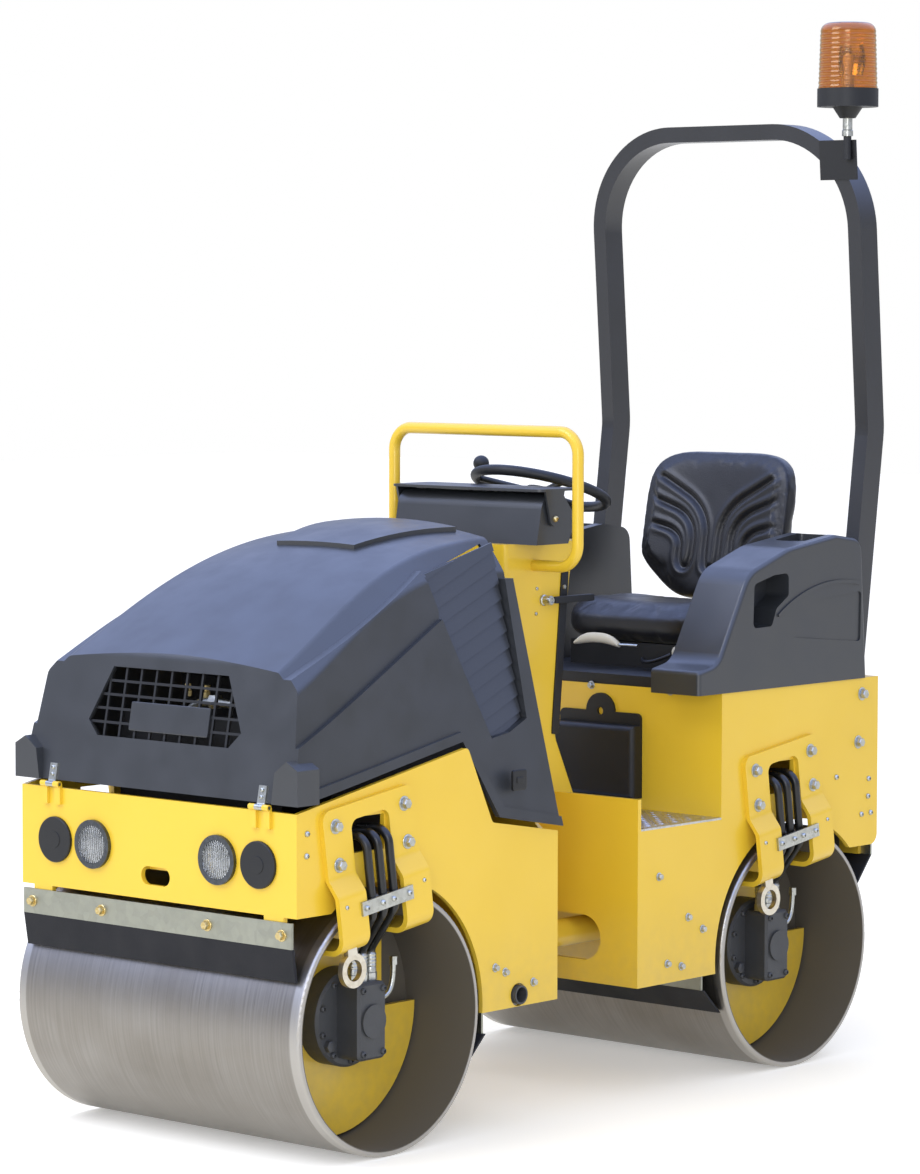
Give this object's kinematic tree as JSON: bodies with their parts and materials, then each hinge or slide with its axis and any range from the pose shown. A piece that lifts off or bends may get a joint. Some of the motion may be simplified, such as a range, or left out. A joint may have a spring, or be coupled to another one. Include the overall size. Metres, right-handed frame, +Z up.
{
  "type": "articulated tandem road roller",
  "caption": "Small articulated tandem road roller with smooth steel drums, a tipping engine hood, an open operator's seat, a roll-over bar and an amber beacon.",
  "frame": {"origin": "on the ground under the middle of the overall length, at mid-width", "axes": "+Z up, the front of the machine faces -Y, the operator's left is +X"},
  "size_m": [0.988, 2.1859, 2.615],
  "materials": {
    "yellow_paint": "gloss",
    "slate_plastic": "moulded, fine grain",
    "slate_paint": "satin",
    "black_plastic": "moulded",
    "black_vinyl": "moulded vinyl",
    "drum_steel": "turned and rolled bright",
    "zinc_steel": "zinc plated",
    "chromate_steel": "yellow chromate on zinc",
    "tread_aluminium": "chequered",
    "motor_iron": "painted casting",
    "hose_rubber": "matt",
    "amber_glass": "clear amber",
    "lamp_glass": "fluted clear"
  },
  "bodies": {
    "rear_frame": {"rear_frame": "yellow_paint", "tread_plate": "tread_aluminium", "document_box": "black_plastic", "steering_column": "yellow_paint", "dashboard": "slate_plastic", "guard_rail": "yellow_paint", "seat_base": "black_plastic", "seat_cushion": "black_vinyl", "seat_back": "black_vinyl", "fender_left": "slate_plastic", "fender_right": "slate_plastic", "rops_frame": "slate_paint", "beacon_base": "black_plastic", "beacon_lens": "amber_glass", "rear_drum_supports": "yellow_paint", "rear_motors": "motor_iron", "rear_hoses": "hose_rubber", "rear_hose_clamps": "zinc_steel", "rear_lashing_rings": "chromate_steel", "rear_scraper_bars": "zinc_steel", "rear_scraper_blades": "hose_rubber"},
    "rear_drum": {"rear_drum": "drum_steel"},
    "yoke": {"articulation_yoke": "yellow_paint"},
    "front_frame": {"front_frame": "yellow_paint", "engine_block": "motor_iron", "radiator": "motor_iron", "headlamps": "lamp_glass", "lamp_covers": "black_plastic", "exhaust_pipe": "motor_iron", "front_drum_supports": "yellow_paint", "front_motors": "motor_iron", "front_hoses": "hose_rubber", "front_hose_clamps": "zinc_steel", "front_lashing_rings": "chromate_steel", "front_scraper_bars": "zinc_steel", "front_scraper_blades": "hose_rubber"},
    "front_drum": {"front_drum": "drum_steel"},
    "hood": {"hood_shell": "slate_plastic", "hood_grille": "black_plastic", "hood_hinges": "zinc_steel"},
    "dash_lid": {"dash_lid": "slate_plastic"},
    "steering_wheel": {"steering_wheel": "black_plastic"},
    "cylinder_barrel": {"cylinder_barrel": "yellow_paint"},
    "cylinder_rod": {"cylinder_rod": "zinc_steel"}
  },
  "joints": [
    {"name": "rear_drum_roll", "type": "hinge", "parent": "rear_frame", "child": "rear_drum", "pos_m": [0, 0.7145, 0.3], "axis": [1, 0, 0], "continuous": true},
    {"name": "steering", "type": "hinge", "parent": "rear_frame", "child": "yoke", "pos_m": [0, -0.0355, 0.4], "axis": [0, 0, 1], "range_deg": [-30, 30]},
    {"name": "oscillation", "type": "hinge", "parent": "yoke", "child": "front_frame", "pos_m": [0, -0.0355, 0.4], "axis": [0, 1, 0], "range_deg": [-8, 8]},
    {"name": "front_drum_roll", "type": "hinge", "parent": "front_frame", "child": "front_drum", "pos_m": [0, -0.7855, 0.3], "axis": [1, 0, 0], "continuous": true},
    {"name": "hood_tip", "type": "hinge", "parent": "front_frame", "child": "hood", "pos_m": [0, -1.0865, 0.806], "axis": [1, 0, 0], "range_deg": [0, 60]},
    {"name": "dash_lid_tip", "type": "hinge", "parent": "rear_frame", "child": "dash_lid", "pos_m": [0, 0.0245, 1.394], "axis": [1, 0, 0], "range_deg": [0, 95]},
    {"name": "steering_wheel_turn", "type": "hinge", "parent": "rear_frame", "child": "steering_wheel", "pos_m": [0, 0.2565, 1.452], "axis": [0, 0.309, 0.9511], "continuous": true},
    {"name": "cylinder_swing", "type": "hinge", "parent": "rear_frame", "child": "cylinder_barrel", "pos_m": [0.215, 0.3195, 0.385], "axis": [0, 0, 1], "range_deg": [-6.5, 6.5]},
    {"name": "cylinder_stroke", "type": "slide", "parent": "cylinder_barrel", "child": "cylinder_rod", "axis": [0, 1, 0], "range_m": [-0.115, 0.115]}
  ],
  "couplings": [
    {"joint": "cylinder_swing", "follows": "steering", "ratio": 0.1967},
    {"joint": "cylinder_stroke", "follows": "steering", "m_per_rad": 0.21}
  ]
}
